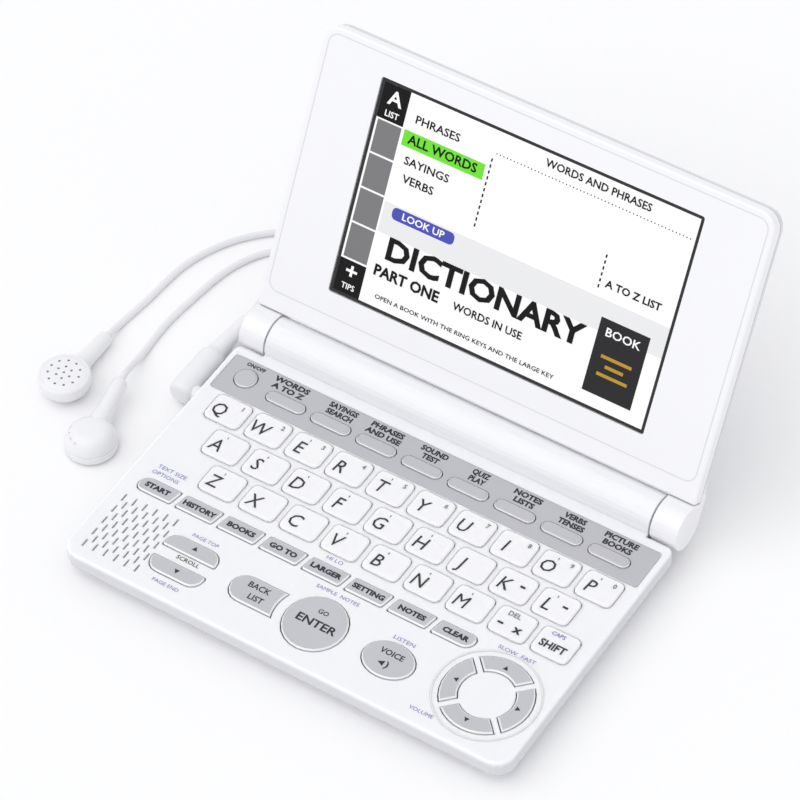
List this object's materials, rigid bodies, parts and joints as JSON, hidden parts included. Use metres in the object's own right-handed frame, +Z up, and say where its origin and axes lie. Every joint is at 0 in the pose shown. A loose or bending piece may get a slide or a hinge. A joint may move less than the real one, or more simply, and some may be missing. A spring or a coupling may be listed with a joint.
{
  "type": "electronic dictionary",
  "caption": "Open clamshell pocket dictionary with a small keyboard, a display lid on a barrel hinge, and plugged-in wired earphones.",
  "frame": {"origin": "middle of the opened device's bounding box, earphones left out, at the height of the feet", "axes": "+X to the reader's right along the hinge, +Y from the front edge to the hinge and the back, +Z up"},
  "size_m": [0.1948, 0.1752, 0.095],
  "materials": {
    "white_shell": "glossy cool white",
    "key_white": "satin white",
    "key_silver": "silver-grey lacquer",
    "display_black": "black display under a clear sheet",
    "board_green": "circuit board",
    "rubber_pale": "matt silicone",
    "speaker_black": "matt black",
    "battery_metal": "sleeved metal can",
    "pin_steel": "plain steel",
    "cord_white": "soft satin white",
    "bud_white": "glossy white",
    "plug_white": "satin white"
  },
  "bodies": {
    "base": {"base_top_cover": "white_shell", "base_bottom_cover": "white_shell", "main_board": "board_green", "key_sheet": "rubber_pale", "speaker": "speaker_black", "battery_left": "battery_metal", "battery_right": "battery_metal"},
    "lid": {"lid_inner_cover": "white_shell", "lid_back_cover": "white_shell", "display_panel": "display_black", "hinge_pin_left": "pin_steel", "hinge_pin_right": "pin_steel"},
    "battery_door": {"battery_cover": "white_shell"},
    "earphones": {"earphone_plug": "plug_white", "main_cord": "cord_white", "main_cord_coil": "cord_white", "cord_splitter": "plug_white", "left_cord": "cord_white", "right_cord": "cord_white", "left_earbud": "bud_white", "right_earbud": "bud_white"},
    "key_Q_cap": {"key_Q": "key_white"},
    "key_W_cap": {"key_W": "key_white"},
    "key_E_cap": {"key_E": "key_white"},
    "key_R_cap": {"key_R": "key_white"},
    "key_T_cap": {"key_T": "key_white"},
    "key_Y_cap": {"key_Y": "key_white"},
    "key_U_cap": {"key_U": "key_white"},
    "key_I_cap": {"key_I": "key_white"},
    "key_O_cap": {"key_O": "key_white"},
    "key_P_cap": {"key_P": "key_white"},
    "key_A_cap": {"key_A": "key_white"},
    "key_S_cap": {"key_S": "key_white"},
    "key_D_cap": {"key_D": "key_white"},
    "key_F_cap": {"key_F": "key_white"},
    "key_G_cap": {"key_G": "key_white"},
    "key_H_cap": {"key_H": "key_white"},
    "key_J_cap": {"key_J": "key_white"},
    "key_K_cap": {"key_K": "key_white"},
    "key_L_cap": {"key_L": "key_white"},
    "key_Z_cap": {"key_Z": "key_white"},
    "key_X_cap": {"key_X": "key_white"},
    "key_C_cap": {"key_C": "key_white"},
    "key_V_cap": {"key_V": "key_white"},
    "key_B_cap": {"key_B": "key_white"},
    "key_N_cap": {"key_N": "key_white"},
    "key_M_cap": {"key_M": "key_white"},
    "key_delete_cap": {"key_delete": "key_white"},
    "key_shift_cap": {"key_shift": "key_white"},
    "mode_keys_body": {"mode_keys": "key_white"},
    "function_keys_body": {"function_keys": "key_silver"},
    "page_up_key_cap": {"page_up_key": "key_silver"},
    "page_down_key_cap": {"page_down_key": "key_silver"},
    "back_key_cap": {"back_key": "key_silver"},
    "enter_key_cap": {"enter_key": "key_silver"},
    "voice_key_cap": {"voice_key": "key_silver"},
    "cursor_right_key_cap": {"cursor_right_key": "key_silver"},
    "cursor_up_key_cap": {"cursor_up_key": "key_silver"},
    "cursor_left_key_cap": {"cursor_left_key": "key_silver"},
    "cursor_down_key_cap": {"cursor_down_key": "key_silver"}
  },
  "joints": [
    {"name": "lid_hinge", "type": "hinge", "parent": "base", "child": "lid", "pos_m": [0, 0.02195, 0.0109], "axis": [1, 0, 0], "range_deg": [-15.5, 119.5]},
    {"name": "battery_cover_slide", "type": "slide", "parent": "base", "child": "battery_door", "axis": [0, 1, 0], "range_m": [0, 0.012]},
    {"name": "earphone_plug_slide", "type": "slide", "parent": "base", "child": "earphones", "axis": [-1, 0, 0], "range_m": [0, 0.016]},
    {"name": "mode_keys_press", "type": "slide", "parent": "base", "child": "mode_keys_body", "axis": [0, 0, -1], "range_m": [0, 0.0007], "stiffness_N_per_m": 1800},
    {"name": "function_keys_press", "type": "slide", "parent": "base", "child": "function_keys_body", "axis": [0, 0, -1], "range_m": [0, 0.0007], "stiffness_N_per_m": 1800},
    {"name": "page_up_key_press", "type": "slide", "parent": "base", "child": "page_up_key_cap", "axis": [0, 0, -1], "range_m": [0, 0.0007], "stiffness_N_per_m": 900},
    {"name": "page_down_key_press", "type": "slide", "parent": "base", "child": "page_down_key_cap", "axis": [0, 0, -1], "range_m": [0, 0.0007], "stiffness_N_per_m": 900},
    {"name": "back_key_press", "type": "slide", "parent": "base", "child": "back_key_cap", "axis": [0, 0, -1], "range_m": [0, 0.0007], "stiffness_N_per_m": 900},
    {"name": "enter_key_press", "type": "slide", "parent": "base", "child": "enter_key_cap", "axis": [0, 0, -1], "range_m": [0, 0.0007], "stiffness_N_per_m": 900},
    {"name": "voice_key_press", "type": "slide", "parent": "base", "child": "voice_key_cap", "axis": [0, 0, -1], "range_m": [0, 0.0007], "stiffness_N_per_m": 900},
    {"name": "cursor_right_key_press", "type": "slide", "parent": "base", "child": "cursor_right_key_cap", "axis": [0, 0, -1], "range_m": [0, 0.0007], "stiffness_N_per_m": 900},
    {"name": "cursor_up_key_press", "type": "slide", "parent": "base", "child": "cursor_up_key_cap", "axis": [0, 0, -1], "range_m": [0, 0.0007], "stiffness_N_per_m": 900},
    {"name": "cursor_left_key_press", "type": "slide", "parent": "base", "child": "cursor_left_key_cap", "axis": [0, 0, -1], "range_m": [0, 0.0007], "stiffness_N_per_m": 900},
    {"name": "cursor_down_key_press", "type": "slide", "parent": "base", "child": "cursor_down_key_cap", "axis": [0, 0, -1], "range_m": [0, 0.0007], "stiffness_N_per_m": 900},
    {"name": "key_Q_press", "type": "slide", "parent": "base", "child": "key_Q_cap", "axis": [0, 0, -1], "range_m": [0, 0.0007], "stiffness_N_per_m": 900},
    {"name": "key_W_press", "type": "slide", "parent": "base", "child": "key_W_cap", "axis": [0, 0, -1], "range_m": [0, 0.0007], "stiffness_N_per_m": 900},
    {"name": "key_E_press", "type": "slide", "parent": "base", "child": "key_E_cap", "axis": [0, 0, -1], "range_m": [0, 0.0007], "stiffness_N_per_m": 900},
    {"name": "key_R_press", "type": "slide", "parent": "base", "child": "key_R_cap", "axis": [0, 0, -1], "range_m": [0, 0.0007], "stiffness_N_per_m": 900},
    {"name": "key_T_press", "type": "slide", "parent": "base", "child": "key_T_cap", "axis": [0, 0, -1], "range_m": [0, 0.0007], "stiffness_N_per_m": 900},
    {"name": "key_Y_press", "type": "slide", "parent": "base", "child": "key_Y_cap", "axis": [0, 0, -1], "range_m": [0, 0.0007], "stiffness_N_per_m": 900},
    {"name": "key_U_press", "type": "slide", "parent": "base", "child": "key_U_cap", "axis": [0, 0, -1], "range_m": [0, 0.0007], "stiffness_N_per_m": 900},
    {"name": "key_I_press", "type": "slide", "parent": "base", "child": "key_I_cap", "axis": [0, 0, -1], "range_m": [0, 0.0007], "stiffness_N_per_m": 900},
    {"name": "key_O_press", "type": "slide", "parent": "base", "child": "key_O_cap", "axis": [0, 0, -1], "range_m": [0, 0.0007], "stiffness_N_per_m": 900},
    {"name": "key_P_press", "type": "slide", "parent": "base", "child": "key_P_cap", "axis": [0, 0, -1], "range_m": [0, 0.0007], "stiffness_N_per_m": 900},
    {"name": "key_A_press", "type": "slide", "parent": "base", "child": "key_A_cap", "axis": [0, 0, -1], "range_m": [0, 0.0007], "stiffness_N_per_m": 900},
    {"name": "key_S_press", "type": "slide", "parent": "base", "child": "key_S_cap", "axis": [0, 0, -1], "range_m": [0, 0.0007], "stiffness_N_per_m": 900},
    {"name": "key_D_press", "type": "slide", "parent": "base", "child": "key_D_cap", "axis": [0, 0, -1], "range_m": [0, 0.0007], "stiffness_N_per_m": 900},
    {"name": "key_F_press", "type": "slide", "parent": "base", "child": "key_F_cap", "axis": [0, 0, -1], "range_m": [0, 0.0007], "stiffness_N_per_m": 900},
    {"name": "key_G_press", "type": "slide", "parent": "base", "child": "key_G_cap", "axis": [0, 0, -1], "range_m": [0, 0.0007], "stiffness_N_per_m": 900},
    {"name": "key_H_press", "type": "slide", "parent": "base", "child": "key_H_cap", "axis": [0, 0, -1], "range_m": [0, 0.0007], "stiffness_N_per_m": 900},
    {"name": "key_J_press", "type": "slide", "parent": "base", "child": "key_J_cap", "axis": [0, 0, -1], "range_m": [0, 0.0007], "stiffness_N_per_m": 900},
    {"name": "key_K_press", "type": "slide", "parent": "base", "child": "key_K_cap", "axis": [0, 0, -1], "range_m": [0, 0.0007], "stiffness_N_per_m": 900},
    {"name": "key_L_press", "type": "slide", "parent": "base", "child": "key_L_cap", "axis": [0, 0, -1], "range_m": [0, 0.0007], "stiffness_N_per_m": 900},
    {"name": "key_Z_press", "type": "slide", "parent": "base", "child": "key_Z_cap", "axis": [0, 0, -1], "range_m": [0, 0.0007], "stiffness_N_per_m": 900},
    {"name": "key_X_press", "type": "slide", "parent": "base", "child": "key_X_cap", "axis": [0, 0, -1], "range_m": [0, 0.0007], "stiffness_N_per_m": 900},
    {"name": "key_C_press", "type": "slide", "parent": "base", "child": "key_C_cap", "axis": [0, 0, -1], "range_m": [0, 0.0007], "stiffness_N_per_m": 900},
    {"name": "key_V_press", "type": "slide", "parent": "base", "child": "key_V_cap", "axis": [0, 0, -1], "range_m": [0, 0.0007], "stiffness_N_per_m": 900},
    {"name": "key_B_press", "type": "slide", "parent": "base", "child": "key_B_cap", "axis": [0, 0, -1], "range_m": [0, 0.0007], "stiffness_N_per_m": 900},
    {"name": "key_N_press", "type": "slide", "parent": "base", "child": "key_N_cap", "axis": [0, 0, -1], "range_m": [0, 0.0007], "stiffness_N_per_m": 900},
    {"name": "key_M_press", "type": "slide", "parent": "base", "child": "key_M_cap", "axis": [0, 0, -1], "range_m": [0, 0.0007], "stiffness_N_per_m": 900},
    {"name": "key_delete_press", "type": "slide", "parent": "base", "child": "key_delete_cap", "axis": [0, 0, -1], "range_m": [0, 0.0007], "stiffness_N_per_m": 900},
    {"name": "key_shift_press", "type": "slide", "parent": "base", "child": "key_shift_cap", "axis": [0, 0, -1], "range_m": [0, 0.0007], "stiffness_N_per_m": 900}
  ]
}
